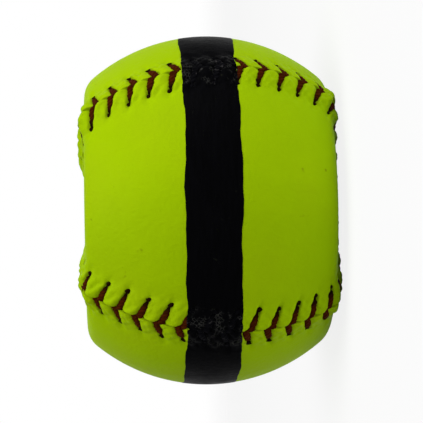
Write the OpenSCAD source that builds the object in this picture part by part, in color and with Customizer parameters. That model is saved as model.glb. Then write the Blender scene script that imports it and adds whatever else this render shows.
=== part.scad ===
// Pitching trainer: a softball with two flat sides, a laced two-piece cover and a
// painted stripe that shows how the ball spins.
// The ball lies on its lower flat. Z is the spin axis, through the middle of both flats,
// and the origin is the centre of the ball. All sizes are in millimetres.
// The upper cover has its waist on the upper flat and its two lobes at the front and the
// back (Y). The lower cover is the same piece turned over and round, with its lobes on X.

/* [Ball] */
// Diameter of the round part, over the leather
ball_d = 97; // [88:0.5:105]
// Distance between the two flat leather faces
flat_gap = 67; // [58:0.5:74]
// Rounding of the rim between a flat and the round part
rim_r = 7; // [5:0.5:9]

/* [Cover] */
// Thickness of the cover leather
cover_t = 2; // [1.8:0.1:2.6]
// Thickness of the cement under the cover
cement_t = 0.3; // [0.2:0.05:0.6]

/* [Seam] */
// Width of each cover's waist, from seam to seam across a flat
waist_w = 29.5; // [24:0.5:33]
// How far the seam leans, in degrees, from a line straight up the ball where it crosses the stripe
seam_lean = 5.5; // [0:0.5:6]
// How much more the leather swells beside the seam than the thread under it lifts it
swell = 0.5; // [0.3:0.1:0.9]
// Width of the lifted leather beyond the lacing holes
welt_edge = 1; // [0.6:0.1:1.8]
// Width of the slit between the two covers
slit_w = 0.3; // [0.1:0.05:0.6]

/* [Lacing] */
// Number of stitches round the whole seam, a multiple of four
stitch_count = 88; // [72:4:104]
// Diameter of the waxed thread
thread_d = 1.4; // [1:0.1:1.5]
// Distance of the lacing holes from the seam
hole_reach = 6; // [5:0.1:7]
// How far a stitch leans along the seam
stitch_lean = 2.4; // [1.8:0.1:2.8]
// Room round the thread in its holes and grooves
thread_room = 0.15; // [0.1:0.05:0.25]

/* [Stripe] */
// Width of the painted stripe
stripe_w = 14.5; // [10:0.5:20]
// Thickness of the paint
paint_t = 0.12; // [0.08:0.02:0.3]

/* [Hidden] */
$fn = 96;

// Profile of the leather: a sphere, a rim and a flat that touch each other smoothly
ball_r = ball_d / 2;
flat_z = flat_gap / 2;
rim_z = flat_z - rim_r;
rim_x = sqrt(pow(ball_r - rim_r, 2) - pow(rim_z, 2));
rim_start = asin(rim_z / (ball_r - rim_r));
round_len = ball_r * rim_start * PI / 180;
rim_len = rim_r * (90 - rim_start) * PI / 180;

// The seam goes up the round part in a leaning plane and turns in a cylinder that touches two
// such planes. The line where they would meet leans by lobe_lean, and lobe_slope is how far it
// moves outwards in each millimetre of height.
lobe_slope = sqrt(2) * tan(seam_lean);
lobe_lean = atan(lobe_slope);
lobe_half = atan(1 / cos(lobe_lean));
turn_c = (waist_w / 2 + lobe_slope * flat_z) * cos(lobe_lean) / (1 - sin(lobe_half));
turn_r = turn_c * sin(lobe_half);
turn_half = 90 - lobe_half;
turn_front = turn_c - turn_r * cos(turn_half);

// Levels above the leather, negative below its face. The thread under a cover lifts the
// leather beside the seam, which makes a welt there.
thread_r = thread_d / 2;
hole_r = thread_r + thread_room;
welt_h = 2 * hole_r + swell;
cover_back = -cover_t;
core_face = cover_back - cement_t;
tunnel_top = cover_back + 2 * hole_r;
leg_level = welt_h - hole_r;
under_level = cover_back + hole_r;

// Widths across the seam
groove_w = thread_d + thread_room;
tunnel_w = hole_reach + hole_r;
welt_w = tunnel_w + welt_edge;
// How far a thread goes straight under a cover, which keeps it clear of the other thread
tuck_reach = 1.4;
// Distance along the seam between the dips of a stitch's two legs. A thicker thread needs
// more leather between them, three fourteenths of its own diameter.
dip_wall = thread_d * 3 / 14;
dip_split = 2 * hole_r + dip_wall;

// Distance of the paint from the seam
stripe_gap = welt_w + thread_room;

// Steps along the curves of the seam, sides of the thread and reach of the cutting blocks
turn_steps = 48;
rise_steps = 40;
height_steps = 24;
thread_sides = 6;
// Largest turn of the seam between two points of a thread that runs under a cover
under_turn = 18;
// A change of direction too small to need a mitre
no_bend = 0.001;
reach = ball_d;
// How far a cut runs past the face that it opens
cut_over = 1;
// Overlap that lets a straight and the curve it runs into cross cleanly
cross_over = 0.02;

leather_colour = [0.67, 0.79, 0.04];
thread_colour = [0.36, 0.09, 0.05];
stripe_colour = [0.03, 0.03, 0.04];
core_colour = [0.82, 0.74, 0.58];
cement_colour = [0.9, 0.87, 0.76];

function unit(v) = v / norm(v);
function mix(a, b, f) = a + (b - a) * f;

// Point [x, z] and outward normal of the leather's profile, at a length up from the equator
function profile_at(up) =
    up < round_len ? let (a = up / ball_r * 180 / PI)
        [ball_r * cos(a), ball_r * sin(a), cos(a), sin(a)]
    : up < round_len + rim_len ? let (a = rim_start + (up - round_len) / rim_r * 180 / PI)
        [rim_x + rim_r * cos(a), rim_z + rim_r * sin(a), cos(a), sin(a)]
    : [rim_x - (up - round_len - rim_len), flat_z, 0, 1];

// The same for a distance from the spin axis, on the upper flat or its rim
function profile_over(x) =
    x <= rim_x ? [x, flat_z, 0, 1]
    : let (c = (x - rim_x) / rim_r, s = sqrt(1 - c * c)) [x, rim_z + rim_r * s, c, s];

// A seam point: place, normal and the curvature of the leather across a straight seam
function on_leather(p, heading) =
    [[p[0] * cos(heading), p[0] * sin(heading), p[1]],
     [p[2] * cos(heading), p[2] * sin(heading), p[3]],
     p[2] / p[0]];

// Heading of the seam at a profile point: on its leaning plane or, where the turn has begun,
// on the turn's cylinder. lobe_x is the distance along a lobe, square to its lean.
function lobe_x(p, heading) = (p[0] * cos(heading) + lobe_slope * p[1]) * cos(lobe_lean);
function plane_heading(p) = 45 + asin(p[1] * tan(seam_lean) / p[0]);
function turn_heading(p, low, high, steps) = let (a = (low + high) / 2)
    steps == 0 ? a
    : norm([lobe_x(p, a) - turn_c, p[0] * sin(a)]) < turn_r ? turn_heading(p, a, high, steps - 1)
    : turn_heading(p, low, a, steps - 1);
function seam_heading(p) = let (a = plane_heading(p))
    lobe_x(p, a) >= turn_front ? a : turn_heading(p, 0, a, height_steps);

// A point of the turn on the rim or the flat, at an angle round its cylinder. It moves outwards
// as it rises, so its height is found by steps from the flat's.
function turn_z(x, y, z, steps) = steps == 0 ? z
    : turn_z(x, y, profile_over(norm([x - lobe_slope * z, y]))[1], steps - 1);
function turn_point(a) = let (
    x = (turn_c - turn_r * cos(a)) / cos(lobe_lean),
    y = turn_r * sin(a),
    z = turn_z(x, y, flat_z, height_steps))
    [x - lobe_slope * z, y];

// The seam is drawn by height up to the rim, or to the turn if that begins further in, and by
// angle from there
rim_foot = profile_at(round_len);
turn_on_round = lobe_x(rim_foot, plane_heading(rim_foot)) < turn_front;
turn_end = turn_on_round ? asin(rim_foot[0] * sin(seam_heading(rim_foot)) / turn_r) : turn_half;
turn_x = turn_on_round ? rim_foot[0] : norm(turn_point(turn_half));
turn_up = turn_x <= rim_x ? round_len + rim_len + rim_x - turn_x
    : round_len + rim_r * (acos((turn_x - rim_x) / rim_r) - rim_start) * PI / 180;

// One arch of the seam: up the round part, round the tip of a lobe and down again
arch_rise = [for (i = [0 : rise_steps - 1]) let (p = profile_at(turn_up * i / rise_steps))
    [p, seam_heading(p)]];
arch = concat(
    [for (p = arch_rise) on_leather(p[0], -p[1])],
    [for (i = [0 : turn_steps]) let (p = turn_point(turn_end * (2 * i / turn_steps - 1)))
        on_leather(profile_over(norm(p)), atan2(p[1], p[0]))],
    [for (i = [rise_steps - 1 : -1 : 0]) on_leather(arch_rise[i][0], arch_rise[i][1])]
);
arch_run = [for (i = 0, run = 0; i < len(arch);
    run = run + (i + 1 < len(arch) ? norm(arch[i + 1][0] - arch[i][0]) : 0), i = i + 1) run];
arch_len = arch_run[len(arch_run) - 1];
stitches_per_arch = stitch_count / 4;
pitch = arch_len / stitches_per_arch;

// Every next arch is the one before turned a quarter round and over
function turned(v, k) = let (q = k % 4, z = k % 2 == 0 ? v[2] : -v[2])
    q == 0 ? [v[0], v[1], z] : q == 1 ? [-v[1], v[0], z]
    : q == 2 ? [-v[0], -v[1], z] : [v[1], -v[0], z];

// Frame of the seam at a length along it: place, direction, normal, way into the upper cover
function seam_at(s) = let (
    k = floor(s / arch_len + 4) % 4,
    on = s - arch_len * floor(s / arch_len),
    i = min(len([for (r = arch_run) if (r <= on) 1]), len(arch) - 1) - 1,
    f = (on - arch_run[i]) / (arch_run[i + 1] - arch_run[i]),
    place = mix(arch[i][0], arch[i + 1][0], f),
    along = unit(arch[i + 1][0] - arch[i][0]),
    out = unit(mix(arch[i][1], arch[i + 1][1], f)),
    inward = unit(cross(along, out)))
    [turned(place, k), turned(along, k), turned(out, k),
     turned(k % 2 == 0 ? -inward : inward, k), mix(arch[i][2], arch[i + 1][2], f)];

// The nearest point of the leather's face to a point
function on_face(p) = let (
    x = norm([p[0], p[1]]),
    z = abs(p[2]),
    a = atan2(z - rim_z, x - rim_x),
    q = x <= rim_x ? [x, flat_z]
        : a > rim_start ? [rim_x + rim_r * cos(a), rim_z + rim_r * sin(a)]
        : ball_r * unit([x, z]))
    [p[0] * q[0] / x, p[1] * q[0] / x, p[2] < 0 ? -q[1] : q[1]];

// A point beside the seam: across is towards the upper cover, level is above the leather
function beside(s, across, level) = let (q = seam_at(s))
    on_face(q[0] + q[3] * across - q[2] * (across * across * q[4] / 2)) + q[2] * level;

// Where stitch n leaves its lacing hole and where it dips into the slit, on one side
function stitch_s(n) = (n + 0.5) * pitch;
function hole_s(n) = stitch_s(n) + stitch_lean;
function dip_s(n, side) = stitch_s(n) + side * dip_split / 2;

// The route of a thread, as points with the seam's direction. It comes up through a hole,
// crosses to the slit, dips, tucks under the other cover and runs to the next hole there.
// side is 1 on the upper cover. The last stitch ends where it is tucked under.
function route_point(s, across, level) = [beside(s, across, level), seam_at(s)[1]];
function under_steps(from, to) = let (turn = acos(min(1, seam_at(from)[2] * seam_at(to)[2])))
    1 + ceil(turn / under_turn);
function stitch_route(n, side) = let (
    hole = hole_s(n),
    dip = dip_s(n, side),
    next = hole_s(n + 1),
    steps = n < stitch_count - 1 ? under_steps(dip, next) : 1)
    concat(
        [route_point(hole, side * hole_reach, under_level),
         route_point(hole, side * hole_reach, leg_level),
         route_point(dip, 0, leg_level),
         route_point(dip, 0, under_level)],
        [for (i = [0 : steps - 1]) let (f = i / steps)
            route_point(mix(dip, next, f), -side * mix(tuck_reach, hole_reach, f), under_level)]
    );
function thread_route(first_side) =
    [for (n = [0 : stitch_count - 1]) each stitch_route(n, n % 2 == 0 ? first_side : -first_side)];

// One ring of the thread, mitred where the route bends
function thread_ring(route, i) = let (
    before = i > 0 ? unit(route[i][0] - route[i - 1][0]) : unit(route[1][0] - route[0][0]),
    after = i < len(route) - 1 ? unit(route[i + 1][0] - route[i][0]) : before,
    way = unit(before + after),
    bend = after - before,
    fold = norm(bend) > no_bend ? unit(bend) : [0, 0, 0],
    stretch = 1 / (way * before) - 1,
    u = unit(route[i][1] - way * (route[i][1] * way)),
    v = cross(way, u))
    [for (k = [0 : thread_sides - 1]) let (
        a = 360 * k / thread_sides,
        q = u * cos(a) + v * sin(a))
        route[i][0] + thread_r * (q + fold * (stretch * (q * fold)))];

module tube(route) {
    n = len(route);
    m = thread_sides;
    points = [for (i = [0 : n - 1]) each thread_ring(route, i)];
    walls = [for (i = [0 : n - 2], k = [0 : m - 1]) let (
        a = i * m + k,
        b = i * m + (k + 1) % m)
        each [[a, b + m, b], [a, a + m, b + m]]];
    start_cap = [for (k = [1 : m - 2]) [0, k, k + 1]];
    end_cap = [for (k = [1 : m - 2]) [(n - 1) * m, (n - 1) * m + k + 1, (n - 1) * m + k]];
    polyhedron(points, concat(walls, start_cap, end_cap));
}

// A solid ball whose face lies at a level above the leather
module ball(level) {
    rotate_extrude() intersection() {
        translate([0, -reach]) square([reach, 2 * reach]);
        union() {
            square([2 * rim_x, 2 * (flat_z + level)], center = true);
            intersection() {
                circle(ball_r + level);
                square([2 * reach, 2 * (rim_z + (rim_r + level) * sin(rim_start))], center = true);
            }
            for (side = [-1, 1])
                translate([rim_x, side * rim_z]) circle(rim_r + level + cross_over);
        }
    }
}

// Stands what is drawn round a lobe's axis on that axis
module leaning(heading) {
    rotate([0, -lobe_lean, heading]) children();
}

// The wedges of the two lobes on X, between their leaning planes, grown by an amount
module lobe_wedges(grow) {
    front = turn_c - (turn_r + grow) * sin(lobe_half);
    tip = front - (turn_r + grow) * cos(lobe_half) / tan(lobe_half);
    far = 2 * reach;
    half_w = far * tan(lobe_half);
    for (heading = [0, 180]) leaning(heading) linear_extrude(2 * reach, center = true)
        polygon([[tip, 0], [tip + far, -half_w], [tip + far, half_w]]);
}

// The space between the turns of those two lobes, which the other cover's waist fills
module waist_space(grow) {
    front = turn_c - (turn_r + grow) * sin(lobe_half);
    difference() {
        intersection() {
            leaning(0) translate([front - reach, 0, 0]) cube(2 * reach, center = true);
            leaning(180) translate([front - reach, 0, 0]) cube(2 * reach, center = true);
        }
        for (heading = [0, 180]) leaning(heading) translate([turn_c, 0, -reach])
            cylinder(r = turn_r + grow + cross_over, h = 2 * reach);
    }
}
module upper_half() {
    translate([0, 0, reach]) cube(2 * reach, center = true);
}

// The space of the lower cover, grown all round by an amount: two wedges, less the upper
// cover's waist above and with its own waist below. The upper cover's is the same space
// turned a quarter round and over.
module cover_space(grow) {
    difference() {
        lobe_wedges(grow);
        intersection() {
            upper_half();
            waist_space(grow);
        }
    }
    mirror([0, 0, 1]) intersection() {
        upper_half();
        rotate(90) waist_space(-grow);
    }
}
module side_space(side, grow) {
    if (side > 0) mirror([0, 0, 1]) rotate(90) cover_space(grow);
    else cover_space(grow);
}

// A straight groove round a thread that runs between two points, open outwards
module groove(from, to, out) {
    along = unit(to - from);
    across = unit(cross(out, along));
    up = cross(along, across);
    multmatrix([
        [along[0], across[0], up[0], from[0]],
        [along[1], across[1], up[1], from[1]],
        [along[2], across[2], up[2], from[2]],
        [0, 0, 0, 1]
    ]) translate([0, -groove_w / 2, -hole_r]) cube([norm(to - from), groove_w, 2 * welt_h]);
}

// A round hole along a normal, right through the cover
module thread_hole(place, out) {
    pitch_angle = acos(out[2]);
    heading = atan2(out[1], out[0]);
    translate(place) rotate([0, pitch_angle, heading])
        cylinder(r = hole_r, h = 2 * (cover_t + welt_h), center = true);
}

// What the lacing takes out of one cover: a groove, a hole and the two dips of each stitch
module lacing_cuts(side) {
    for (n = [0 : stitch_count - 1]) {
        hole = seam_at(hole_s(n));
        groove(beside(hole_s(n), side * hole_reach, leg_level),
               beside(dip_s(n, side), 0, leg_level), seam_at(stitch_s(n))[2]);
        thread_hole(beside(hole_s(n), side * hole_reach, 0), hole[2]);
        for (each_side = [-1, 1]) {
            dip = seam_at(dip_s(n, each_side));
            thread_hole(dip[0], dip[2]);
        }
    }
}

// One cover: leather that is lifted beside the seam, with a tunnel for the thread under it
module cover(side) {
    difference() {
        intersection() {
            ball(welt_h);
            side_space(side, -slit_w / 2);
        }
        ball(cover_back);
        intersection() {
            difference() {
                ball(welt_h + cut_over);
                ball(0);
            }
            side_space(side, -welt_w);
        }
        difference() {
            ball(tunnel_top);
            side_space(side, -tunnel_w);
        }
        lacing_cuts(side);
    }
}

module cement(side) {
    intersection() {
        difference() {
            ball(cover_back);
            ball(core_face);
        }
        side_space(side, -slit_w / 2);
    }
}

module core() { color(core_colour) ball(core_face); }
module upper_cement() { color(cement_colour) cement(1); }
module lower_cement() { color(cement_colour) cement(-1); }
module upper_cover() { color(leather_colour) cover(1); }
module lower_cover() { color(leather_colour) cover(-1); }
module lacing_thread_first() { color(thread_colour) tube(thread_route(1)); }
module lacing_thread_second() { color(thread_colour) tube(thread_route(-1)); }

// The paint lies on the leather between the welts
module spin_stripe() {
    color(stripe_colour) difference() {
        intersection() {
            ball(paint_t);
            cube([2 * reach, 2 * reach, stripe_w], center = true);
            union() {
                for (side = [-1, 1]) side_space(side, -stripe_gap);
            }
        }
        ball(0);
    }
}

core();
upper_cement();
lower_cement();
upper_cover();
lower_cover();
lacing_thread_first();
lacing_thread_second();
spin_stripe();
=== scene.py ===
"""Looks of a pitching trainer ball: laced leather covers, waxed thread and a painted stripe.

Shapes are worked out in millimetres in the part's own frame, where Z is the spin axis and the ball lies on its
lower flat, and become metres when a mesh is made. The photograph's up is +X and its left is +Z.
"""

import math

import bpy
import numpy as np
from mathutils import Matrix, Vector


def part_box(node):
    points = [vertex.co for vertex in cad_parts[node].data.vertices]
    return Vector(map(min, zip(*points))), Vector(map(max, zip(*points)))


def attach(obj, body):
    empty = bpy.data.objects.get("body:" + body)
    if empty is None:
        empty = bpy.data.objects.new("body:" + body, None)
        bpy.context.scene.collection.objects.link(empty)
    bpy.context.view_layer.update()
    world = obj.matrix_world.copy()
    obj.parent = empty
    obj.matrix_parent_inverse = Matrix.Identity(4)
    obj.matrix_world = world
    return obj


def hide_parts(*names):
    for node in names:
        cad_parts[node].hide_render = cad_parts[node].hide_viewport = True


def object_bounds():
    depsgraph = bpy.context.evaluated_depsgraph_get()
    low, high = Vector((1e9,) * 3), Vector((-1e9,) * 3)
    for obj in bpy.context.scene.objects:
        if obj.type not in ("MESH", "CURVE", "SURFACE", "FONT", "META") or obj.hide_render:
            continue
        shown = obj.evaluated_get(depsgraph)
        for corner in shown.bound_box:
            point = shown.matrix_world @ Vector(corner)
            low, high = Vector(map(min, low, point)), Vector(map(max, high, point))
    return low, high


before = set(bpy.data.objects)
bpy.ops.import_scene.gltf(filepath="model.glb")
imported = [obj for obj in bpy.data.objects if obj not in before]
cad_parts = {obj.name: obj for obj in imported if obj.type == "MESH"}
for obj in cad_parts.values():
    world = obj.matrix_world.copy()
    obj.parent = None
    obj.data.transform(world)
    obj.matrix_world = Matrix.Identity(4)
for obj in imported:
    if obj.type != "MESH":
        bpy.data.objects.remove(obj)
CAD_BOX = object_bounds()
MM = 0.001
TINY_LEN = 1e-9
TINY_BEND = 1e-6

# The ball under its leather face, as in the part
BALL_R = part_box("upper_cover")[1][1] / MM
FLAT_Z = 33.5
RIM_R = 7.0
COVER_T = 2.0
WAIST_W = 29.5
SEAM_LEAN = math.radians(5.5)

# The lacing: the holes' distance from the seam, how far the legs lean along it on each cover, how far apart a
# stitch's two legs go down into the slit, and where a thread runs under the leather
STITCHES = 88
HOLE_REACH = 5.5
UPPER_LEAN = 2.3
LOWER_LEAN = 1.1
DIP_SPLIT = 1.5
TUCK_REACH = 1.4
UNDER_LEVEL = -1.15

# How high a thread's middle runs over the leather on each cover, at shares of its leg from the hole to the slit
LEG_AT = (0.06, 0.28, 0.5, 0.7, 0.86)
LEG_BEYOND = 1.5
UPPER_LIFT = (-0.3, -0.06, 0.16, 0.28, 0.25)
LOWER_LIFT = (-0.25, 0.15, 0.42, 0.5, 0.38)
# Where it turns: how far beyond the hole's middle it comes up, its level in the hole, over the slit and in the slit
HOLE_BACK = 0.15
HOLE_FRONT = 0.1
HOLE_LEVEL = -0.5
SLIT_OVER = 0.05
SLIT_PAST = 0.2
SLIT_TOP_LEVEL = 0.5
SLIT_LEVEL = -0.75
HIDDEN_LIFT, HOLE_LIFT, SLIT_LIFT = -1.0, -0.5, 0.1
UNDER_RUN = (0.0, 1 / 3, 2 / 3)

# The leather beside the seam: how high it stands, from the round part over the rim to the flat, given by the height
# of the seam's normal, where it turns down into the slit and where it lies flat again
WELT_AT = (0.0, 0.5, 0.8, 1.0)
WELT_H = (1.0, 1.25, 1.8, 1.55)
LIP_W = 1.3
LIP_LOW = 0.8
WELT_END = 7.8
SLIT_HALF = 0.05
EDGE_FOOT = -1.9
GROOVE_W = 0.95
GROOVE_END_W = 0.45
GROOVE_DEPTH = 0.8
GROOVE_NARROWS = 0.4
LEG_FADE_FROM = 0.2
LEG_FADE_TO = 0.8
PILLOW_LOW = 0.62
PILLOW_RISE = 0.58
HOLE_W = 0.45
HOLE_DEPTH = 0.6
WRINKLE_W = 0.9
WRINKLE_DEPTH = 0.5
WRINKLE_START = 0.8
WRINKLE_LEN = 4.2
CREASE_COUNT = 6
CREASE_H = 0.18
CREASE_LOW = 0.2
CREASE_HIGH = 1.2
CREASE_FULL = 4.5
CREASE_END = 9.2

# The thread, its section and its strands
THREAD_R = 0.84
THREAD_WIDE = 1.15
THREAD_HIGH = 0.8
THREAD_LAY = 3.4
STRANDS = 3
STRAND_DEPTH = 0.1

# The paint, and the waves of its brushed edges as counts round the ball and sizes
STRIPE_HALF = 7.25
PAINT_T = 0.06
PAINT_UNDER = 0.24
EDGE_WAVES = ((5, 0.22), (11, 0.16), (23, 0.1), (61, 0.06), (140, 0.04))

# Steps of the grids
SEAM_STEPS = 600
HEIGHT_STEPS = 24
STEPS_PER_STITCH = 16
WELT_ROWS = 30
WELT_CROWD = 1.35
FIELD_ROWS = 8
FIELD_EDGE = 10.0
SPINE_SHORT = 5.0
UNDER_SHARES = (1.0, 0.6, 0.3, 0.0)
THREAD_SIDES = 12
THREAD_STEPS = 5
STRIPE_ROWS = 56

# No two stitches are quite alike
SEED = 7
rng = np.random.default_rng(SEED)
PILLOW_JITTER = rng.uniform(0.82, 1.15, STITCHES)
GROOVE_JITTER = rng.uniform(0.8, 1.15, STITCHES)
LEG_JITTER = rng.uniform(-0.16, 0.16, STITCHES)
CREASE_TURNS = rng.integers(70, 200, CREASE_COUNT)
CREASE_ACROSS = rng.uniform(-1.6, 1.6, CREASE_COUNT)
CREASE_PHASE = rng.uniform(0, math.pi, CREASE_COUNT)
REACH_JITTER = rng.uniform(-0.5, 0.35, (2, STITCHES))

# The profile from the equator to the flat's middle: the rim's centre, where the rim starts, and the lengths
RIM_Z = FLAT_Z - RIM_R
RIM_X = math.sqrt((BALL_R - RIM_R) ** 2 - RIM_Z ** 2)
RIM_START = math.asin(RIM_Z / (BALL_R - RIM_R))
ROUND_LEN = BALL_R * RIM_START
RIM_LEN = RIM_R * (math.pi / 2 - RIM_START)
HALF_LEN = ROUND_LEN + RIM_LEN + RIM_X
# The leaning cylinder that the seam's turn lies in
LOBE_SLOPE = math.sqrt(2) * math.tan(SEAM_LEAN)
LOBE_LEAN = math.atan(LOBE_SLOPE)
LOBE_HALF = math.atan(1 / math.cos(LOBE_LEAN))
TURN_C = (WAIST_W / 2 + LOBE_SLOPE * FLAT_Z) * math.cos(LOBE_LEAN) / (1 - math.sin(LOBE_HALF))
TURN_R = TURN_C * math.sin(LOBE_HALF)


def smooth(low, high, x):
    """0 below low, 1 above high, and 3f^2 - 2f^3 of the fraction f between them."""
    f = np.clip((x - low) / (high - low), 0, 1)
    return f * f * (3 - 2 * f)


def unit(v):
    """Vectors brought to length 1."""
    return v / np.linalg.norm(v, axis=-1, keepdims=True)


def profile_at(up):
    """Distance from the axis and height of the leather's profile, at a length up from the equator: a circle of
    BALL_R, then the rim's circle of RIM_R, then the flat."""
    angle = np.where(up < ROUND_LEN, up / BALL_R, RIM_START + (up - ROUND_LEN) / RIM_R)
    angle = np.minimum(angle, math.pi / 2)
    cos, sin = np.cos(angle), np.sin(angle)
    on_ball = up < ROUND_LEN
    x = np.where(on_ball, BALL_R * cos, RIM_X + RIM_R * cos)
    z = np.where(on_ball, BALL_R * sin, RIM_Z + RIM_R * sin)
    x = x - np.maximum(up - ROUND_LEN - RIM_LEN, 0)
    return x, z


def on_leather(points):
    """The nearest points of the leather's plain face, and its normals there."""
    rho = np.hypot(points[..., 0], points[..., 1])
    z = np.abs(points[..., 2])
    over = np.sign(points[..., 2]) + (points[..., 2] == 0)
    rim_angle = np.arctan2(z - RIM_Z, rho - RIM_X)
    ball_angle = np.arctan2(z, rho)
    flat = rho <= RIM_X
    rim = ~flat & (rim_angle > RIM_START)
    angle = np.where(flat, math.pi / 2, np.where(rim, rim_angle, ball_angle))
    cos, sin = np.cos(angle), np.sin(angle)
    new_rho = np.where(flat, rho, np.where(rim, RIM_X + RIM_R * cos, BALL_R * cos))
    new_z = np.where(flat, FLAT_Z, np.where(rim, RIM_Z + RIM_R * sin, BALL_R * sin))
    safe = np.maximum(rho, TINY_LEN)
    cx, cy = points[..., 0] / safe, points[..., 1] / safe
    place = np.stack([new_rho * cx, new_rho * cy, over * new_z], -1)
    out = np.stack([cos * cx, cos * cy, over * sin], -1)
    return place, out


def turned(v, k):
    """Vectors turned k quarters about Z, and over when k is odd."""
    cos, sin = round(math.cos(k * math.pi / 2)), round(math.sin(k * math.pi / 2))
    over = 1 if k % 2 == 0 else -1
    return np.stack([cos * v[:, 0] - sin * v[:, 1], sin * v[:, 0] + cos * v[:, 1], over * v[:, 2]], -1)


def turn_points(angle):
    """Points of the seam's turn, at angles round the leaning cylinder that it lies in. A point of the turn moves
    outwards by LOBE_SLOPE with each millimetre of height, so the height is found by steps from the flat's."""
    x = (TURN_C - TURN_R * np.cos(angle)) / math.cos(LOBE_LEAN)
    y = TURN_R * np.sin(angle)
    z = np.full_like(angle, FLAT_Z)
    for _ in range(HEIGHT_STEPS):
        rho = np.hypot(x - LOBE_SLOPE * z, y)
        rim = RIM_Z + np.sqrt(np.maximum(RIM_R ** 2 - (rho - RIM_X) ** 2, 0))
        ball = np.sqrt(np.maximum(BALL_R ** 2 - rho ** 2, 0))
        on_rim = rho <= RIM_X + RIM_R * math.cos(RIM_START)
        z = np.where(rho <= RIM_X, FLAT_Z, np.where(on_rim, rim, ball))
    return np.stack([x - LOBE_SLOPE * z, y, z], -1)


def seam_table():
    """The seam as a closed run of points with normals and cross curvature. One arch goes up the round part in a plane
    that leans by SEAM_LEAN, turns on the flat and comes down the other side of the lobe. Each next arch is the
    last one turned a quarter round and over."""
    turn = turn_points(np.linspace(LOBE_HALF - math.pi / 2, math.pi / 2 - LOBE_HALF, SEAM_STEPS))
    z = np.linspace(0, turn[0, 2], SEAM_STEPS)[:-1]
    aside = z * math.tan(SEAM_LEAN)
    ahead = np.sqrt(BALL_R ** 2 - z ** 2 - aside ** 2)
    c = math.sqrt(0.5)
    rise = np.stack([c * (ahead - aside), -c * (ahead + aside), z], -1)
    arch = np.concatenate([rise, turn, (rise * np.array([1, -1, 1]))[::-1]])[:-1]
    arch, arch_out = on_leather(arch)
    bend = np.hypot(arch_out[:, 0], arch_out[:, 1]) / np.hypot(arch[:, 0], arch[:, 1])
    place = np.concatenate([turned(arch, k) for k in range(4)] + [arch[:1]])
    out = np.concatenate([turned(arch_out, k) for k in range(4)] + [arch_out[:1]])
    run = np.concatenate([[0], np.cumsum(np.linalg.norm(np.diff(place, axis=0), axis=1))])
    along = unit(np.roll(place[:-1], -1, 0) - np.roll(place[:-1], 1, 0))
    along = np.concatenate([along, along[:1]])
    return run, place, out, along, np.append(np.tile(bend, 4), bend[0])


SEAM_RUN, SEAM_PLACE, SEAM_OUT, SEAM_ALONG, SEAM_BEND = seam_table()
SEAM_LEN = SEAM_RUN[-1]
PITCH = SEAM_LEN / STITCHES


def seam_at(s):
    """Place, normal, direction, way into the upper cover and cross curvature of the seam, at lengths along it."""
    s = np.mod(s, SEAM_LEN)

    def look_up(table):
        return np.stack([np.interp(s, SEAM_RUN, table[:, i]) for i in range(3)], -1)

    out = unit(look_up(SEAM_OUT))
    along = unit(look_up(SEAM_ALONG))
    return look_up(SEAM_PLACE), out, along, unit(np.cross(out, along)), np.interp(s, SEAM_RUN, SEAM_BEND)


def beside_seam(s, across):
    """Points of the plain leather at a signed distance from the seam, towards the upper cover where it is positive.
    A step t across goes sin(kt)/k sideways and (1 - cos kt)/k down, for the cross curvature k."""
    place, out, along, into, bend = seam_at(s)
    k = np.maximum(bend, TINY_BEND)
    side = np.sin(k * across) / k
    down = (1 - np.cos(k * across)) / k
    return on_leather(place + into * side[..., None] - out * down[..., None])


def stitch_lean(side):
    """How far along the seam a hole lies from its stitch's middle."""
    return np.where(np.asarray(side) > 0, UPPER_LEAN, LOWER_LEAN)


def hole_reach(stitch, side):
    """How far from the seam a stitch's hole lies on one cover: no two are quite alike."""
    return HOLE_REACH + REACH_JITTER[np.where(np.asarray(side) > 0, 1, 0), stitch]


def leg_offset(reach, side, end=HOLE_REACH):
    """How far along the seam a stitch's leg lies from the stitch's middle, at a distance from the seam: a straight
    line from its dip to its hole at the end, which wrinkles carry on a little beyond."""
    dip = side * DIP_SPLIT / 2
    return dip + (stitch_lean(side) - dip) * np.clip(reach / end, 0, LEG_BEYOND)


def welt_height(s):
    """Height of the welt at lengths along the seam, looked up by the steepness of the leather there."""
    rise = np.interp(np.mod(s, SEAM_LEN), SEAM_RUN, np.abs(SEAM_OUT[:, 2]))
    return np.interp(rise, WELT_AT, WELT_H)


def creases(s, reach, side):
    """Small uneven folds beside the seam: a sum of |sin| waves, sharp in their valleys, each a whole number of turns
    long round the seam, which die out towards CREASE_END and in the slit."""
    total = 0
    for turns, slant, phase in zip(CREASE_TURNS, CREASE_ACROSS, CREASE_PHASE):
        total = total + np.abs(np.sin(math.pi * turns * s / SEAM_LEN + slant * reach + phase + side)) - 2 / math.pi
    return CREASE_H * total * smooth(CREASE_LOW, CREASE_HIGH, reach) * (1 - smooth(CREASE_FULL, CREASE_END, reach))


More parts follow.
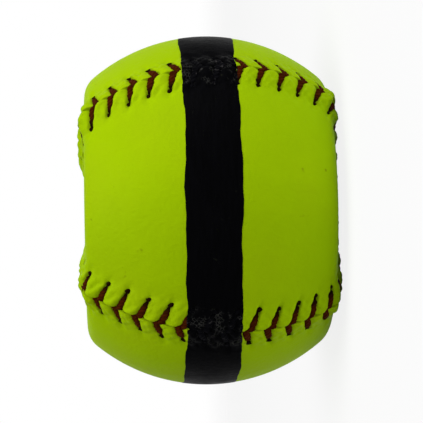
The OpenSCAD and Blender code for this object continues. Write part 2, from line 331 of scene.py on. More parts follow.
def leather_height(s, reach, side):
    """Height of the leather over its plain face beside the seam, and the distances to the nearest leg and hole.

    The welt is a raised cosine from the seam to WELT_END, rounded off at the slit by a quarter ellipse LIP_W wide. It
    swells between the legs of two stitches by a raised cosine. Each leg presses a Gaussian groove into it, which
    narrows towards the lacing hole, and each hole is a Gaussian pit from which a wrinkle runs out.
    """
    count = (s - leg_offset(reach, side)) / PITCH - 0.5
    nearest = np.rint(count)
    stitch = nearest.astype(int) % STITCHES
    gap = np.floor(count).astype(int) % STITCHES
    end = hole_reach(stitch, side)
    aside = LEG_JITTER[stitch] * np.clip(reach / end, 0, 1)
    off = s - (nearest + 0.5) * PITCH - leg_offset(reach, side, end) - aside
    slant = np.arctan2(stitch_lean(side) - side * DIP_SPLIT / 2, HOLE_REACH)
    beside_leg = np.abs(off) * np.cos(slant)
    lip = LIP_LOW + (1 - LIP_LOW) * np.sqrt(np.clip(1 - (1 - np.minimum(reach / LIP_W, 1)) ** 2, 0, 1))
    fall = 0.5 + 0.5 * np.cos(math.pi * np.clip(reach / WELT_END, 0, 1))
    between = 0.5 - 0.5 * np.cos(2 * math.pi * (count - nearest))
    pillow = PILLOW_LOW + PILLOW_RISE * between * PILLOW_JITTER[gap]
    height = welt_height(s) * lip * fall * pillow
    leg = 1 - smooth(end - LEG_FADE_FROM, end + LEG_FADE_TO, reach)
    groove_w = GROOVE_W + (GROOVE_END_W - GROOVE_W) * smooth(GROOVE_NARROWS * end, end, reach)
    groove = GROOVE_DEPTH * np.exp(-((beside_leg / groove_w) ** 2)) * leg * GROOVE_JITTER[stitch]
    hole = np.hypot(off, reach - end)
    pit = HOLE_DEPTH * np.exp(-((hole / HOLE_W) ** 2))
    start = end + WRINKLE_START
    beyond = smooth(end, start, reach) * (1 - smooth(start, end + WRINKLE_LEN, reach))
    wrinkle = WRINKLE_DEPTH * np.exp(-((beside_leg / WRINKLE_W) ** 2)) * beyond * GROOVE_JITTER[stitch]
    return height - groove - pit - wrinkle + creases(s, reach, side), beside_leg, hole


def spine_at(w, side, half):
    """Points of the line down the middle of a cover, at a length from its waist. The upper cover's lobes lie on Y and
    the lower cover's on X, and half says which lobe."""
    up = HALF_LEN - w
    x, z = profile_at(np.abs(up))
    z = np.sign(up) * z * side
    flat = np.zeros_like(x)
    return np.stack([flat, half * x, z] if side > 0 else [half * x, flat, z], -1)


def make_mesh(name, points, faces):
    """A smooth mesh object from points in millimetres and an array of quads, without the points that no face uses,
    and the numbers of those it does use."""
    used, faces = np.unique(faces, return_inverse=True)
    faces = faces.reshape(-1, 4)
    mesh = bpy.data.meshes.new(name)
    mesh.vertices.add(len(used))
    mesh.vertices.foreach_set("co", (points[used] * MM).astype(np.float32).ravel())
    mesh.loops.add(faces.size)
    mesh.loops.foreach_set("vertex_index", faces.astype(np.int32).ravel())
    mesh.polygons.add(len(faces))
    mesh.polygons.foreach_set("loop_start", np.arange(0, faces.size, 4, dtype=np.int32))
    mesh.update(calc_edges=True)
    mesh.validate()
    mesh.shade_smooth()
    obj = bpy.data.objects.new(name, mesh)
    bpy.context.collection.objects.link(obj)
    return obj, used


def add_attribute(obj, name, values):
    """A number at every point of a mesh, for its material to read."""
    layer = obj.data.attributes.new(name, "FLOAT", "POINT")
    layer.data.foreach_set("value", values.astype(np.float32))


def grid_faces(ids):
    """Quads between neighbouring rows and columns of an array of point numbers."""
    a, b, c, d = ids[:-1, :-1], ids[:-1, 1:], ids[1:, 1:], ids[1:, :-1]
    return np.stack([a, b, c, d], -1).reshape(-1, 4)


def ring_cap(ring):
    """Quads that close a ring with an even number of points: each joins an edge to the one opposite it."""
    half = len(ring) // 2
    return grid_faces(np.stack([ring[:half], ring[:half - 1:-1]]))


def welt_rows():
    """Distances from the seam of the rows on the welt, closest where the leather turns into the slit."""
    f = np.arange(WELT_ROWS + 1) / WELT_ROWS
    return SLIT_HALF + (FIELD_EDGE - SLIT_HALF) * f ** WELT_CROWD


def leather_cover(name, side):
    """One cover as a closed shell on a grid of lengths along the seam and rows away from it.

    The first rows come up out of the slit and over the welt. The next rows go straight to the cover's middle line
    and are drawn onto the plain face. The last rows come back along the underside to the edge.
    """
    columns = STITCHES * STEPS_PER_STITCH
    s = np.arange(columns) * SEAM_LEN / columns
    reach = welt_rows()[:, None]
    place, out = beside_seam(s[None, :], side * reach * np.ones_like(s))
    height, leg_gap, hole_gap = leather_height(s[None, :], reach, side)
    welt = place + out * height[..., None]
    foot = place[:1] + out[:1] * EDGE_FOOT

    # The upper cover's waist lies beside the middle of the seam's first arch, the lower cover's beside the second's
    waist_share = 1 / 8 if side > 0 else 3 / 8
    waist = SEAM_LEN * waist_share
    from_waist = np.abs(np.mod(s - waist + SEAM_LEN / 4, SEAM_LEN / 2) - SEAM_LEN / 4)
    tip = 2 * HALF_LEN - WAIST_W / 2 - FIELD_EDGE - SPINE_SHORT
    w = np.interp(from_waist, [0, SEAM_LEN / 8, SEAM_LEN / 4], [0, HALF_LEN, tip])
    first_half = np.mod(s - waist, SEAM_LEN) < SEAM_LEN / 2
    spine = spine_at(w, side, np.where(first_half, side, -side))
    f = (np.arange(1, FIELD_ROWS + 1) / FIELD_ROWS)[:, None, None]
    field, _ = on_leather(place[-1] * (1 - f) + spine * f)
    under = np.array(UNDER_SHARES)[:, None, None]
    below, below_out = on_leather(place[-1] * (1 - under) + spine * under)
    below = below - below_out * COVER_T

    rows = np.concatenate([foot, welt, field, below])
    ids = np.arange(rows.shape[0] * columns).reshape(rows.shape[0], columns)
    # Two columns alike from a lobe's tip, a quarter of the seam on from the waist, meet at the middle line
    mirror = 2 * (waist_share + 1 / 4) * columns
    other = np.mod(mirror - np.arange(columns), columns).astype(int)
    same = np.minimum(np.arange(columns), other)
    first_below = 1 + len(welt) + FIELD_ROWS
    for row in (first_below - 1, first_below):
        ids[row] = ids[row, same]
    ids = np.concatenate([ids, ids[:, :1]], 1)
    outer = grid_faces(ids[:first_below])
    inner = grid_faces(np.concatenate([ids[first_below:], ids[:1]]))
    faces = np.concatenate([outer, inner])
    obj, used = make_mesh(name, rows.reshape(-1, 3), faces if side > 0 else faces[:, ::-1])

    far = np.full((FIELD_ROWS + len(UNDER_SHARES), columns), FIELD_EDGE)
    add_attribute(obj, "seam_gap", np.concatenate([np.zeros((1, columns)), reach + 0 * s, far]).ravel()[used])
    add_attribute(obj, "leg_gap", np.concatenate([leg_gap[:1], leg_gap, far]).ravel()[used])
    add_attribute(obj, "hole_gap", np.concatenate([hole_gap[:1], hole_gap, far]).ravel()[used])
    return obj


def thread_route(first_side):
    """Points of a thread's middle line, with the seam's direction and the lift over the leather at each: up through a
    hole, along the leg to the slit, down, tucked under the other cover and on to the next hole there, for every
    stitch in turn."""
    n = np.arange(STITCHES)
    side = np.where(n % 2 == 0, first_side, -first_side)[:, None]
    middle = (n[:, None] + 0.5) * PITCH
    hole = middle + stitch_lean(side) + LEG_JITTER[:, None]
    dip = middle + side * DIP_SPLIT / 2
    end = hole_reach(n[:, None], side)
    leg = np.array(LEG_AT)
    leg_s = hole + (dip - hole) * leg
    leg_reach = end * (1 - leg)
    upper = leather_height(leg_s, leg_reach, 1)[0]
    lower = leather_height(leg_s, leg_reach, -1)[0]
    leg_lift = np.where(side > 0, UPPER_LIFT, LOWER_LIFT)
    leg_level = np.where(side > 0, upper, lower) + leg_lift
    run = np.array(UNDER_RUN)
    after = np.concatenate([hole[1:], hole[-1:] + PITCH])
    one = np.ones_like(middle)
    s = np.concatenate([hole, hole, leg_s, dip, dip, dip + (after - dip) * run], 1)
    across = np.concatenate(
        [
            side * (end + HOLE_BACK),
            side * (end + HOLE_FRONT),
            side * leg_reach,
            side * SLIT_OVER,
            -side * SLIT_PAST,
            -side * (TUCK_REACH + (HOLE_REACH - TUCK_REACH) * run),
        ],
        1,
    )
    runs = one * np.ones_like(run)
    level = np.concatenate(
        [
            UNDER_LEVEL * one,
            HOLE_LEVEL * one,
            leg_level,
            SLIT_TOP_LEVEL * one,
            SLIT_LEVEL * one,
            UNDER_LEVEL * runs,
        ],
        1,
    )
    lift = np.concatenate(
        [HIDDEN_LIFT * one, HOLE_LIFT * one, leg_lift, SLIT_LIFT * one, HIDDEN_LIFT * one, HIDDEN_LIFT * runs], 1
    )
    place, out = beside_seam(s.ravel(), across.ravel())
    return place + out * level.reshape(-1, 1), seam_at(s.ravel())[2], lift.reshape(-1, 1)


def curve_through(points, steps):
    """Points on the Catmull-Rom curve through a run of points, with as many steps in each span."""
    p = np.concatenate([points[:1], points, points[-1:]])
    f = (np.arange(steps) / steps)[None, :, None]
    a, b, c, d = (p[i : len(p) - 3 + i, None] for i in range(4))
    spans = b + 0.5 * f * (c - a + f * (2 * a - 5 * b + 4 * c - d + f * (3 * (b - c) + d - a)))
    return np.concatenate([spans.reshape(-1, points.shape[1]), points[-1:]])


def lacing_thread(name, first_side):
    """A waxed thread of three strands, carried along its route. Its section is an ellipse, a little wider than it is
    high, with three lobes that turn once in THREAD_LAY."""
    points, seam_way, lift = thread_route(first_side)
    path = curve_through(points, THREAD_STEPS)
    seam_way = curve_through(seam_way, THREAD_STEPS)
    lift = curve_through(lift, THREAD_STEPS)[:, 0]
    way = unit(np.gradient(path, axis=0))
    u = unit(seam_way - way * np.sum(seam_way * way, -1, keepdims=True))
    v = np.cross(way, u)
    run = np.concatenate([[0], np.cumsum(np.linalg.norm(np.diff(path, axis=0), axis=1))])
    a = np.arange(THREAD_SIDES) * 2 * math.pi / THREAD_SIDES
    lobes = np.cos(STRANDS * (a[None, :] - 2 * math.pi * run[:, None] / THREAD_LAY))
    r = THREAD_R * (1 + STRAND_DEPTH * lobes)
    wide, high = THREAD_WIDE * np.cos(a)[:, None], THREAD_HIGH * np.sin(a)[:, None]
    ring = wide * u[:, None] + high * v[:, None]
    rings = path[:, None] + ring * r[..., None]
    ids = np.arange(rings.shape[0] * THREAD_SIDES).reshape(-1, THREAD_SIDES)
    sides = grid_faces(np.concatenate([ids, ids[:, :1]], 1))
    caps = np.concatenate([ring_cap(ids[0])[:, ::-1], ring_cap(ids[-1])])
    obj, used = make_mesh(name, rings.reshape(-1, 3), np.concatenate([sides, caps]))
    add_attribute(obj, "thread_lift", np.repeat(lift, THREAD_SIDES)[used])
    add_attribute(obj, "thread_run", np.repeat(run, THREAD_SIDES)[used])
    add_attribute(obj, "thread_turn", np.tile(a, len(run))[used])
    return obj


def stripe_edge(heading, seed):
    """How far the brushed edge of the stripe wanders, at headings round the ball: a sum of a few waves."""
    waves = np.random.default_rng(seed)
    total = np.zeros_like(heading)
    for count, size in EDGE_WAVES:
        total += size * np.sin(count * heading + waves.uniform(0, 2 * math.pi))
    return total


def spin_stripe(name):
    """The paint as four closed films, one on each lobe, from slit to slit. Every film is a grid of headings and
    heights on the round part, which follows the leather, welts and all, at PAINT_T above it.

    The seam is a leaning great circle there. For the outward, forward and sideways vectors u, v and w of its
    crossing, a point p of the unit ball lies R asin(p.w) from the seam, beside the point R atan2(p.v, p.u) along it.
    """
    reach = welt_rows()
    middle = BALL_R * math.pi / 4
    half = np.concatenate([reach, np.linspace(FIELD_EDGE, middle, FIELD_ROWS * 2)[1:]])
    share = np.concatenate([half, (2 * middle - half[:-1])[::-1]]) / middle - 1
    across = np.linspace(-1, 1, STRIPE_ROWS)[:, None]
    parts, faces, gaps = [], [], []
    start = 0
    for lobe in range(4):
        side = 1 if lobe % 2 else -1
        plain_heading = lobe * math.pi / 2 + share * math.pi / 4
        top = STRIPE_HALF + stripe_edge(plain_heading, SEED)
        bottom = STRIPE_HALF + stripe_edge(plain_heading, SEED + 1)
        lat = np.arcsin(np.where(across > 0, across * top, across * bottom) / BALL_R)
        lobe_half = math.pi / 4 - side * np.arcsin(np.tan(lat) * math.tan(SEAM_LEAN))
        heading = lobe * math.pi / 2 + share * lobe_half
        out = np.stack([np.cos(lat) * np.cos(heading), np.cos(lat) * np.sin(heading), np.sin(lat)], -1)
        corner = SEAM_LEN / 4 * np.where(share > 0, lobe + 1, lobe)
        _, up, along, into, _ = seam_at(corner)
        gap = side * BALL_R * np.arcsin(np.sum(out * into, -1))
        s = corner + BALL_R * np.arctan2(np.sum(out * along, -1), np.sum(out * up, -1))
        height = leather_height(s, gap, side)[0]
        face = out * (BALL_R + height + PAINT_T)[..., None]
        back = out * (BALL_R + height - PAINT_UNDER)[..., None]
        feet = out[:, [0, -1]] * (BALL_R + EDGE_FOOT / 2)
        back_feet = out[:, [0, -1]] * (BALL_R + EDGE_FOOT / 2 - PAINT_T)
        face = np.concatenate([feet[:, :1], face, feet[:, 1:]], 1)
        back = np.concatenate([back_feet[:, :1], back, back_feet[:, 1:]], 1)
        edged = np.pad(gap, ((0, 0), (1, 1)))
        gaps.append(np.concatenate([edged, edged[::-1]]).ravel())
        rows = np.concatenate([face, back[::-1]])
        ids = start + np.arange(rows.shape[0] * rows.shape[1]).reshape(rows.shape[:2])
        over, under = ids[:STRIPE_ROWS], ids[:STRIPE_ROWS - 1:-1]
        faces.append(grid_faces(np.concatenate([ids, ids[:1]])))
        faces.append(grid_faces(np.stack([over[:, 0], under[:, 0]])))
        faces.append(grid_faces(np.stack([under[:, -1], over[:, -1]])))
        parts.append(rows.reshape(-1, 3))
        start += rows.shape[0] * rows.shape[1]
    obj, used = make_mesh(name, np.concatenate(parts), np.concatenate(faces))
    add_attribute(obj, "seam_gap", np.concatenate(gaps)[used])
    return obj


class Graph:
    """Adds nodes to a tree. An input is a value, or the socket to link to it."""

    def __init__(self, tree):
        self.tree = tree

    def add(self, kind, inputs=None, **settings):
        node = self.tree.nodes.new(kind)
        for key, value in settings.items():
            setattr(node, key, value)
        for key, value in (inputs or {}).items():
            if isinstance(value, bpy.types.NodeSocket):
                self.tree.links.new(value, node.inputs[key])
            else:
                node.inputs[key].default_value = value
        return node

    def math(self, operation, a, b=0.0):
        return self.add("ShaderNodeMath", {0: a, 1: b}, operation=operation).outputs[0]

    def ramp(self, value, low, high, to_low=0.0, to_high=1.0):
        inputs = {"Value": value, "From Min": low, "From Max": high, "To Min": to_low, "To Max": to_high}
        return self.add("ShaderNodeMapRange", inputs, interpolation_type="SMOOTHSTEP").outputs["Result"]

    def mix(self, factor, a, b):
        return self.add("ShaderNodeMix", {0: factor, 6: a, 7: b}, data_type="RGBA").outputs[2]

    def noise(self, where, scale, detail=4.0, rough=0.55):
        inputs = {"Vector": where, "Scale": scale, "Detail": detail, "Roughness": rough}
        return self.add("ShaderNodeTexNoise", inputs).outputs["Fac"]

    def attribute(self, name):
        return self.add("ShaderNodeAttribute", attribute_name=name).outputs["Fac"]

    def object_place(self):
        return self.add("ShaderNodeTexCoord").outputs["Object"]


def node_group(name, inputs, outputs):
    """An empty shader node group with float inputs, {name: default}, and outputs, {name: socket type}."""
    tree = bpy.data.node_groups.new(name, "ShaderNodeTree")
    for key, value in inputs.items():
        tree.interface.new_socket(key, in_out="INPUT", socket_type="NodeSocketFloat").default_value = value
    for key, kind in outputs.items():
        tree.interface.new_socket(key, in_out="OUTPUT", socket_type=kind)
    g = Graph(tree)
    return g, g.add("NodeGroupInput").outputs, g.add("NodeGroupOutput").inputs


# Colours of the leather, the paint and the thread, with painted shade, shadow and glints among them
LEATHER_DEEP = (0.345, 0.55, 0.001, 1)
LEATHER_BRIGHT = (0.385, 0.60, 0.001, 1)
LEATHER_DULL = (0.36, 0.47, 0.006, 1)
GROOVE_GRIME_AND_SHADE = (0.12, 0.15, 0.002, 1)
HOLE_SHADOW = (0.012, 0.012, 0.002, 1)
SLIT_SHADE = (0.1, 0.12, 0.002, 1)
LEATHER_SPECK = (0.13, 0.15, 0.004, 1)
PAINT_DEEP = (0.001, 0.001, 0.001, 1)
PAINT_BLACK = (0.003, 0.003, 0.004, 1)
PAINT_SPECK = (0.03, 0.032, 0.02, 1)
PAINT_CRACK_GLINT = (0.045, 0.045, 0.042, 1)
THREAD_DEEP = (0.036, 0.008, 0.0008, 1)
THREAD_RED = (0.11, 0.017, 0.002, 1)
THREAD_BETWEEN_SHADE = (0.03, 0.006, 0.0008, 1)
THREAD_SUNK_SHADE = (0.006, 0.004, 0.0006, 1)
THREAD_GLINT = (0.09, 0.085, 0.085, 1)

# Sizes of the patterns, as features to a metre
GRAIN_SCALE = 1000.0
PORE_SCALE = 3200.0
DENT_SCALE = 160.0
SHADE_SCALE = 28.0
CRUMPLE_SCALE = 360.0
STREAK_SCALE = 1500.0
CRACK_SCALE = 1150.0
CRACK_PATCH_SCALE = 420.0
FIBRE_SCALE = 2600.0
GLINT_SCALE = 900.0
WANDER_SCALE = 300.0
# Shares of the grain's three heights, the streaks' stretch round the ball, and the belt's soft edge in millimetres
CELL_WEIGHT, PORE_WEIGHT, DENT_WEIGHT = 0.5, 0.35, 1.1
STREAK_SQUASH = (0.12, 0.12, 1.0)
BELT_SOFT_IN, BELT_SOFT_OUT = 0.1, 0.15

# How a mark fades with its distance in millimetres: from, to, and its share at each
GRIME_AND_SHADE_FADE = (0.45, 1.2, 1.0, 0.0)
GRIME_AND_SHADE_END = (HOLE_REACH, HOLE_REACH + 1.0, 1.0, 0.0)
HOLE_SHADOW_FADE = (0.1, 0.6, 0.95, 0.0)
SLIT_FADE = (0.06, 0.35, 0.4, 0.0)
CRUMPLE_FADE = (2.0, 9.5, 2.6, 0.0)
CRACK_GLINT_FADE = (4.5, 7.5, 0.8, 0.0)
SUNK_SHADE_FADE = (-0.15, 0.28, 0.9, 0.0)

# How much of a mark's colour shows at most
DULL_SHARE = 0.2
GRIME_AND_SHADE_SHARE = 0.6
LEATHER_SPECK_SHARE = 0.6
PAINT_SPECK_SHARE = 0.4
BETWEEN_SHADE_SHARE = 0.5
GLINT_SHARE = 0.5

# Shine, least and most roughness, and the bumps' strength and height in metres
LEATHER_SHINE, LEATHER_ROUGH, LEATHER_BUMP = 0.008, (0.45, 0.6), (0.6, 0.00035)
PAINT_SHINE, PAINT_ROUGH, PAINT_BUMP = 0.004, (0.34, 0.5), (0.4, 0.0003)
THREAD_SHINE, THREAD_ROUGH, THREAD_BUMP = 0.008, (0.45, 0.65), (0.5, 0.0002)
INNER_ROUGH_RANGE, INNER_BUMP = 0.15, (0.4, 0.0004)
STREAK_BUMP = 0.5
STRAND_BUMP = 1.5


def grain_group():
    """Leather grain: shallow cells about a millimetre wide, finer pores over them, and slow dents."""
    masks = {"Height": "NodeSocketFloat", "Pores": "NodeSocketFloat"}
    g, given, result = node_group("leather_grain", {"Cell": GRAIN_SCALE, "Depth": 1.0}, masks)
    where = g.object_place()
    cells = g.add("ShaderNodeTexVoronoi", {"Vector": where, "Scale": given["Cell"]}, feature="SMOOTH_F1").outputs[0]
    pores = g.noise(where, PORE_SCALE, 3.0, 0.6)
    dents = g.noise(where, DENT_SCALE, 3.0, 0.5)
    height = g.math("ADD", g.math("MULTIPLY", cells, CELL_WEIGHT), g.math("MULTIPLY", pores, PORE_WEIGHT))
    height = g.math("ADD", height, g.math("MULTIPLY", dents, DENT_WEIGHT))
    g.tree.links.new(g.math("MULTIPLY", height, given["Depth"]), result["Height"])
    g.tree.links.new(g.ramp(pores, 0.45, 0.7), result["Pores"])
    return g.tree


def scuff_group():
    """Handling marks: a soft patchy mask and a sparse mask of small dark specks."""
    masks = {"Patches": "NodeSocketFloat", "Specks": "NodeSocketFloat"}
    g, given, result = node_group("handling_marks", {"Patch": 45.0, "Speck": 260.0}, masks)
    where = g.object_place()
    g.tree.links.new(g.ramp(g.noise(where, given["Patch"], 5.0, 0.6), 0.4, 0.72), result["Patches"])
    specks = g.noise(where, given["Speck"], 2.0, 0.7)
    g.tree.links.new(g.ramp(specks, 0.7, 0.78), result["Specks"])
    return g.tree


def stripe_group():
    """A mask of the painted belt: 1 where the height on the spin axis is inside the stripe's wandering edges."""
    g, given, result = node_group("painted_belt", {"Wander": 0.5, "Inset": 0.0}, {"Mask": "NodeSocketFloat"})
    where = g.object_place()
    z = g.add("ShaderNodeSeparateXYZ", {"Vector": where}).outputs["Z"]
    wander = g.math("MULTIPLY", g.math("SUBTRACT", g.noise(where, WANDER_SCALE, 2.0), 0.5), given["Wander"])
    height = g.math("ADD", g.math("MULTIPLY", g.math("ABSOLUTE", z), 1 / MM), g.math("ADD", wander, given["Inset"]))
    mask = g.ramp(height, STRIPE_HALF - BELT_SOFT_IN, STRIPE_HALF + BELT_SOFT_OUT, 1.0, 0.0)
    g.tree.links.new(mask, result["Mask"])
    return g.tree


def new_material(name):
    """A material with its graph and its shader."""
    material = bpy.data.materials.new(name)
    material.use_nodes = True
    g = Graph(material.node_tree)
    return material, g, material.node_tree.nodes["Principled BSDF"]


def place_group(g, tree, **inputs):
    """Adds a node group and gives back its outputs."""
    return g.add("ShaderNodeGroup", inputs, node_tree=tree).outputs


def bump(g, shader, height, strength, distance):
    """Roughens a shader's face by a height."""
    node = g.add("ShaderNodeBump", {"Height": height, "Strength": strength, "Distance": distance})
    g.tree.links.new(node.outputs["Normal"], shader.inputs["Normal"])


def leather_material(grain, marks, belt):
    """Optic yellow leather: slow changes of shade, dull patches, dark specks, grime and painted shade in the
    grooves of the lacing, a painted shadow in its holes, painted shade in the slit, and the paint that has run in
    under the film of the stripe."""
    material, g, shader = new_material("cover_leather")
    texture = place_group(g, grain, Cell=GRAIN_SCALE, Depth=1.0)
    worn = place_group(g, marks, Patch=45.0, Speck=230.0)
    where = g.object_place()
    shade = g.ramp(g.noise(where, SHADE_SCALE, 3.0), 0.3, 0.7)
    colour = g.mix(shade, LEATHER_DEEP, LEATHER_BRIGHT)
    dull = g.math("MULTIPLY", worn["Patches"], DULL_SHARE)
    colour = g.mix(dull, colour, LEATHER_DULL)
    # Grime and painted shade: a darker colour along the grooves of the legs, out to the holes
    groove = g.ramp(g.attribute("leg_gap"), *GRIME_AND_SHADE_FADE)
    near = g.ramp(g.attribute("seam_gap"), *GRIME_AND_SHADE_END)
    grime_and_shade = g.math("MULTIPLY", g.math("MULTIPLY", groove, near), GRIME_AND_SHADE_SHARE)
    colour = g.mix(grime_and_shade, colour, GROOVE_GRIME_AND_SHADE)
    # Painted shadow: near black round each lacing hole
    hole = g.ramp(g.attribute("hole_gap"), *HOLE_SHADOW_FADE)
    colour = g.mix(hole, colour, HOLE_SHADOW)
    slit = g.ramp(g.attribute("seam_gap"), *SLIT_FADE)
    colour = g.mix(slit, colour, SLIT_SHADE)
    colour = g.mix(g.math("MULTIPLY", worn["Specks"], LEATHER_SPECK_SHARE), colour, LEATHER_SPECK)
    painted = place_group(g, belt, Wander=0.3, Inset=0.65)["Mask"]
    colour = g.mix(painted, colour, PAINT_BLACK)
    g.tree.links.new(colour, shader.inputs["Base Color"])
    g.tree.links.new(g.ramp(texture["Pores"], 0.0, 1.0, *LEATHER_ROUGH), shader.inputs["Roughness"])
    shader.inputs["Specular IOR Level"].default_value = LEATHER_SHINE
    drawn = g.ramp(g.attribute("seam_gap"), *CRUMPLE_FADE)
    crumple = g.math("MULTIPLY", g.noise(where, CRUMPLE_SCALE, 4.0, 0.6), drawn)
    bump(g, shader, g.math("ADD", texture["Height"], crumple), *LEATHER_BUMP)
    return material


def stripe_material(grain, marks):
    """Black satin paint that was brushed on: the leather's grain shows through, with thin streaks round the ball, and
    it has cracked where the leather is drawn up by the lacing, with painted glints in light grey along the cracks."""
    material, g, shader = new_material("stripe_paint")
    texture = place_group(g, grain, Cell=GRAIN_SCALE, Depth=1.0)
    worn = place_group(g, marks, Patch=70.0, Speck=320.0)
    where = g.add("ShaderNodeMapping", {"Vector": g.object_place(), "Scale": STREAK_SQUASH}).outputs[0]
    streaks = g.noise(where, STREAK_SCALE, 3.0)
    colour = g.mix(streaks, PAINT_DEEP, PAINT_BLACK)
    colour = g.mix(g.math("MULTIPLY", worn["Specks"], PAINT_SPECK_SHARE), colour, PAINT_SPECK)
    # Painted glints: light grey lines along the cracks of the paint near the seam
    place = g.object_place()
    cells = {"Vector": place, "Scale": CRACK_SCALE}
    edges = g.add("ShaderNodeTexVoronoi", cells, feature="DISTANCE_TO_EDGE").outputs[0]
    patches = g.ramp(g.noise(place, CRACK_PATCH_SCALE, 3.0), 0.48, 0.6)
    crack_glints = g.math("MULTIPLY", g.ramp(edges, 0.02, 0.1, 1.0, 0.0), patches)
    drawn = g.ramp(g.attribute("seam_gap"), *CRACK_GLINT_FADE)
    colour = g.mix(g.math("MULTIPLY", crack_glints, drawn), colour, PAINT_CRACK_GLINT)
    g.tree.links.new(colour, shader.inputs["Base Color"])
    g.tree.links.new(g.ramp(worn["Patches"], 0.0, 1.0, *PAINT_ROUGH), shader.inputs["Roughness"])
    shader.inputs["Specular IOR Level"].default_value = PAINT_SHINE
    height = g.math("ADD", texture["Height"], g.math("MULTIPLY", streaks, STREAK_BUMP))
    bump(g, shader, height, *PAINT_BUMP)
    return material


def thread_material(belt):
    """Dark red waxed thread with fibres along its twist, painted shade between its strands and where it sinks into
    the leather, painted black inside the stripe, with painted glints on the black.
    """
    material, g, shader = new_material("lacing_thread")
    painted = place_group(g, belt, Wander=1.2)["Mask"]
    run = g.attribute("thread_run")
    turn = g.attribute("thread_turn")
    along = g.math("MULTIPLY", run, STRANDS * 2 * math.pi / THREAD_LAY)
    twist = g.math("SUBTRACT", g.math("MULTIPLY", turn, STRANDS), along)
    strand = g.ramp(g.math("COSINE", twist), -1.0, 1.0)
    where = g.object_place()
    fibre = g.noise(where, FIBRE_SCALE, 4.0, 0.7)
    colour = g.mix(fibre, THREAD_DEEP, THREAD_RED)
    # Painted shade: darker between the strands
    between = g.math("MULTIPLY", g.math("SUBTRACT", 1.0, strand), BETWEEN_SHADE_SHARE)
    colour = g.mix(between, colour, THREAD_BETWEEN_SHADE)
    # Painted shade: nearly black where the thread sinks into a hole, the slit or under the leather
    sunk_shade = g.ramp(g.attribute("thread_lift"), *SUNK_SHADE_FADE)
    colour = g.mix(sunk_shade, colour, THREAD_SUNK_SHADE)
    # Painted glints: sparse light grey flecks on the thread's black paint
    glint = g.ramp(g.noise(where, GLINT_SCALE, 2.0, 0.6), 0.6, 0.72)
    paint = g.mix(g.math("MULTIPLY", glint, GLINT_SHARE), PAINT_BLACK, THREAD_GLINT)
    colour = g.mix(painted, colour, paint)
    g.tree.links.new(colour, shader.inputs["Base Color"])
    g.tree.links.new(g.ramp(fibre, 0.2, 0.8, *THREAD_ROUGH), shader.inputs["Roughness"])
    shader.inputs["Specular IOR Level"].default_value = THREAD_SHINE
    bump(g, shader, g.math("ADD", fibre, g.math("MULTIPLY", strand, STRAND_BUMP)), *THREAD_BUMP)
    return material


def inner_material(name, dark, light, scale, rough):
    """Foam or dried cement, which the covers hide: two shades of one colour and a pitted face."""
    material, g, shader = new_material(name)
    pits = g.noise(g.object_place(), scale, 4.0)
    g.tree.links.new(g.mix(pits, dark, light), shader.inputs["Base Color"])
    g.tree.links.new(g.ramp(pits, 0.3, 0.7, rough, rough + INNER_ROUGH_RANGE), shader.inputs["Roughness"])
    bump(g, shader, pits, *INNER_BUMP)
    return material


# The camera stands where the photograph's did, a little to the side of the upper flat
CAMERA_AWAY = 533.0
CAMERA_TILT = math.radians(5.2)
CAMERA_RISE = math.radians(2.8)
CAMERA_ROLL = math.radians(0.9)
FRAME_PIXELS = 423
FOCAL_PIXELS = 1903.0
SENSOR = 36.0
AIM_RIGHT = 1.5
AIM_UP = -0.3
CAMERA_NEAR = 0.01


def stand(obj, right, up, back, place):
    """Puts a camera or a lamp at a place in metres, facing away from its back."""
    matrix = np.eye(4)
    matrix[:3] = np.stack([right, up, back, place], -1)
    obj.matrix_world = Matrix(matrix.tolist())
    bpy.context.collection.objects.link(obj)


def add_camera():
    """Looks along +Y with the photograph's up on +X: the picture's right is the spin axis's way down."""
    away = np.array(
        [
            -math.sin(CAMERA_TILT) * math.cos(CAMERA_RISE),
            -math.cos(CAMERA_TILT) * math.cos(CAMERA_RISE),
            math.sin(CAMERA_RISE),
        ]
    )
    right = unit(np.array([0.0, 0.0, -1.0]) + away * away[2])
    up = np.cross(away, right)
    cos, sin = math.cos(CAMERA_ROLL), math.sin(CAMERA_ROLL)
    right, up = cos * right - sin * up, cos * up + sin * right
    data = bpy.data.cameras.new("camera")
    data.sensor_width = SENSOR
    data.lens = FOCAL_PIXELS * SENSOR / FRAME_PIXELS
    data.clip_start = CAMERA_NEAR
    camera = bpy.data.objects.new("camera", data)
    place = away * CAMERA_AWAY + right * AIM_RIGHT + up * AIM_UP
    stand(camera, right, up, away, place * MM)
    bpy.context.scene.camera = camera


# Two soft lamps and a weak sky, with powers that bring out the colours about as they are written
TOP_PLACE, TOP_SIZE, TOP_POWER = (0.8, -0.35, 0.15), 0.5, 3.15
SIDE_PLACE, SIDE_SIZE, SIDE_POWER = (0.05, -0.36, 0.93), 0.7, 7.8
SKY_LIGHT = 0.1
LAMP_UP = (0.0, 0.3, 1.0)


def add_lamp(name, place, size, power):
    """A square lamp that faces the ball."""
    data = bpy.data.lights.new(name, "AREA")
    data.size = size
    data.energy = power
    lamp = bpy.data.objects.new(name, data)
    place = np.array(place)
    back = unit(place)
    side = unit(np.cross(LAMP_UP, back))
    stand(lamp, side, np.cross(back, side), back, place)


# The floor: its radius, where it starts to fade, its sides, its colour and its share of plain white to the eye
FLOOR_R = 0.9
FLOOR_FADE = 0.4
FLOOR_SIDES = 96
FLOOR_PALE = (0.92, 0.92, 0.92, 1)
FLOOR_WHITE = 0.85
WHITE = (1, 1, 1, 1)


def white_to_eye(g):
    """1 for rays from the camera, and for those that gloss or glass send on."""
    path = g.add("ShaderNodeLightPath").outputs
    seen = g.math("MAXIMUM", path["Is Camera Ray"], path["Is Glossy Ray"])
    return g.math("MAXIMUM", seen, path["Is Transmission Ray"])


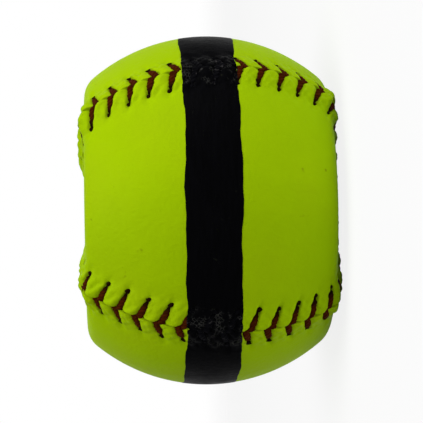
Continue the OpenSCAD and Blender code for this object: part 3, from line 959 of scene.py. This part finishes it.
def add_floor():
    """A round pale floor under the lower welts. It fades out into the white round it, and keeps a soft shadow."""
    a = np.arange(FLOOR_SIDES) * 2 * math.pi / FLOOR_SIDES
    z = CAD_BOX[0][2]
    points = np.stack([FLOOR_R * np.cos(a), FLOOR_R * np.sin(a), np.full_like(a, z)], -1)
    mesh = bpy.data.meshes.new("floor")
    mesh.from_pydata(points.tolist(), [], [list(range(FLOOR_SIDES))])
    floor = bpy.data.objects.new("floor", mesh)
    bpy.context.collection.objects.link(floor)
    material = bpy.data.materials.new("floor")
    material.use_nodes = True
    g = Graph(material.node_tree)
    material.node_tree.nodes.clear()
    where = g.object_place()
    away = g.add("ShaderNodeVectorMath", {0: where}, operation="LENGTH").outputs["Value"]
    pale = g.add("ShaderNodeBsdfDiffuse", {"Color": FLOOR_PALE}).outputs[0]
    white = g.add("ShaderNodeEmission", {"Color": WHITE, "Strength": 1.0}).outputs[0]
    lit = g.add("ShaderNodeMixShader", {0: g.math("MULTIPLY", white_to_eye(g), FLOOR_WHITE), 1: pale, 2: white})
    clear = g.add("ShaderNodeBsdfTransparent").outputs[0]
    fade = g.ramp(away, FLOOR_FADE, FLOOR_R)
    mixed = g.add("ShaderNodeMixShader", {0: fade, 1: lit.outputs[0], 2: clear})
    g.add("ShaderNodeOutputMaterial", {"Surface": mixed.outputs[0]})
    floor.data.materials.append(material)


def add_world():
    """White to the eye, and a soft even light on the ball."""
    world = bpy.data.worlds.new("studio")
    bpy.context.scene.world = world
    world.use_nodes = True
    g = Graph(world.node_tree)
    world.node_tree.nodes.clear()
    strength = g.ramp(white_to_eye(g), 0.0, 1.0, SKY_LIGHT, 1.0)
    sky = g.add("ShaderNodeBackground", {"Color": WHITE, "Strength": strength})
    g.add("ShaderNodeOutputWorld", {"Surface": sky.outputs[0]})


def fit(obj, material, node):
    """Gives a piece its material, hangs it on the root body and hides the part it stands for."""
    obj.data.materials.append(material)
    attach(obj, "root")
    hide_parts(node)


add_camera()
add_world()
add_floor()
add_lamp("top", TOP_PLACE, TOP_SIZE, TOP_POWER)
add_lamp("side", SIDE_PLACE, SIDE_SIZE, SIDE_POWER)

grain, marks, belt = grain_group(), scuff_group(), stripe_group()
leather = leather_material(grain, marks, belt)
thread = thread_material(belt)
upper = leather_cover("upper_leather", 1)
lower = leather_cover("lower_leather", -1)
fit(upper, leather, "upper_cover")
fit(lower, leather, "lower_cover")
fit(lacing_thread("first_thread", 1), thread, "lacing_thread_first")
fit(lacing_thread("second_thread", -1), thread, "lacing_thread_second")
fit(spin_stripe("stripe_film"), stripe_material(grain, marks), "spin_stripe")

# Two shades, pits to a metre and least roughness of what the covers hide
FOAM_DARK, FOAM_LIGHT, FOAM_SCALE, FOAM_ROUGH = (0.52, 0.40, 0.22, 1), (0.68, 0.55, 0.34, 1), 900.0, 0.7
CEMENT_DARK, CEMENT_LIGHT, CEMENT_SCALE, CEMENT_ROUGH = (0.70, 0.64, 0.46, 1), (0.82, 0.77, 0.60, 1), 400.0, 0.4
foam = inner_material("core_foam", FOAM_DARK, FOAM_LIGHT, FOAM_SCALE, FOAM_ROUGH)
cement = inner_material("dried_cement", CEMENT_DARK, CEMENT_LIGHT, CEMENT_SCALE, CEMENT_ROUGH)
for node, material in (("core", foam), ("upper_cement", cement), ("lower_cement", cement)):
    node_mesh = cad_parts[node].data
    node_mesh.materials.clear()
    node_mesh.materials.append(material)

bpy.context.scene.view_settings.view_transform = "Standard"
